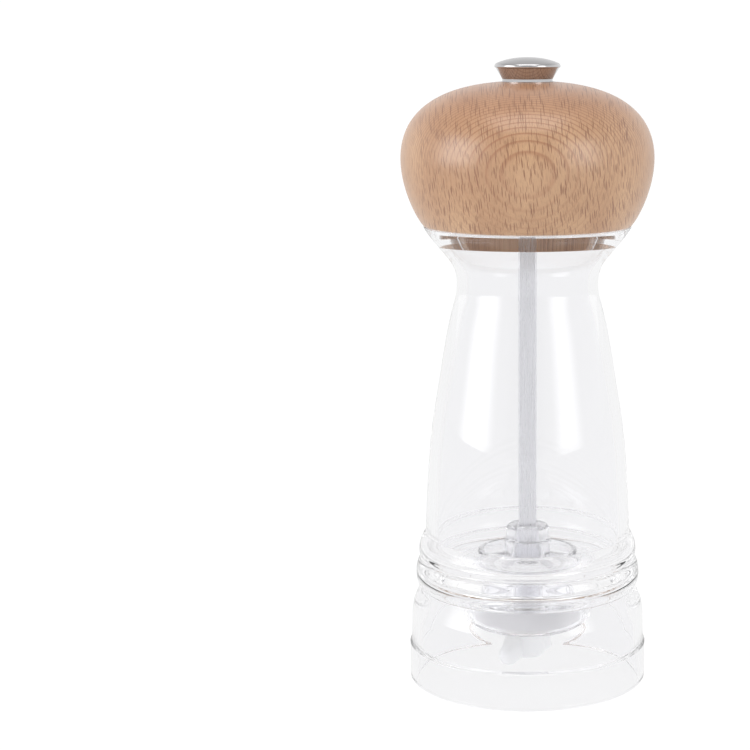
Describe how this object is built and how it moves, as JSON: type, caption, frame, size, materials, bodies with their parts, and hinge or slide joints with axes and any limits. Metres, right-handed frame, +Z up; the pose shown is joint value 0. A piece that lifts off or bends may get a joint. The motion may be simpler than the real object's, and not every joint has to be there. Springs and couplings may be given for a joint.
{
  "type": "pepper mill",
  "caption": "Pepper mill with a turned wood head, clear flared body, square drive shaft and an adjustable conical grinder under the chamber floor.",
  "frame": {"origin": "centre of the ring that the mill stands on", "axes": "+Z up along the shaft, -Y towards the front"},
  "size_m": [0.0694, 0.0694, 0.1744],
  "materials": {
    "acrylic": "clear polished acrylic",
    "clear_plastic": "clear moulded plastic, slightly milky",
    "ceramic": "white fired ceramic, fine matte",
    "aluminium": "drawn bar with fine lengthwise lines",
    "steel": "zinc plated",
    "spring_steel": "dark oiled wire",
    "polished_steel": "mirror polished sides, satin brushed top",
    "white_plastic": "white moulded nylon",
    "brass": "machined",
    "beech": "satin lacquer over turned beech"
  },
  "bodies": {
    "body": {"body_shell": "acrylic", "grinder_housing": "clear_plastic", "stator": "ceramic"},
    "spindle": {"spindle_rod": "aluminium", "guide_sleeve": "clear_plastic", "upper_spring_washer": "steel", "spring": "spring_steel"},
    "rotor": {"rotor": "ceramic", "rotor_carrier": "white_plastic", "lower_spring_washer": "steel"},
    "adjuster": {"adjuster_knob": "white_plastic", "adjuster_insert": "steel"},
    "head": {"wood_head": "beech", "drive_plate": "steel", "plate_screw_1": "steel", "plate_screw_2": "steel", "plate_screw_3": "steel"},
    "knob_washer": {"knob_washer": "white_plastic"},
    "knob": {"top_knob": "polished_steel", "knob_insert": "brass"}
  },
  "joints": [
    {"name": "head_turn", "type": "hinge", "parent": "body", "child": "spindle", "pos_m": [0, 0, 0.041], "axis": [0, 0, 1], "continuous": true},
    {"name": "head_lift", "type": "slide", "parent": "spindle", "child": "head", "axis": [0, 0, 1], "range_m": [0, 0.05]},
    {"name": "knob_lift", "type": "slide", "parent": "head", "child": "knob_washer", "axis": [0, 0, 1], "range_m": [0, 0.0056]},
    {"name": "knob_turn", "type": "hinge", "parent": "knob_washer", "child": "knob", "pos_m": [0, 0, 0.1675], "axis": [0, 0, 1], "range_deg": [0, 2880]},
    {"name": "rotor_lift", "type": "slide", "parent": "spindle", "child": "rotor", "axis": [0, 0, 1], "range_m": [0, 0.0015], "deforming": ["spring"]},
    {"name": "adjuster_turn", "type": "hinge", "parent": "rotor", "child": "adjuster", "pos_m": [0, 0, 0.0155], "axis": [0, 0, 1], "range_deg": [0, 1080]}
  ],
  "couplings": [
    {"joint": "knob_lift", "follows": "knob_turn", "m_per_rad": 0.00011141},
    {"joint": "rotor_lift", "follows": "adjuster_turn", "m_per_rad": 0.000079577}
  ]
}
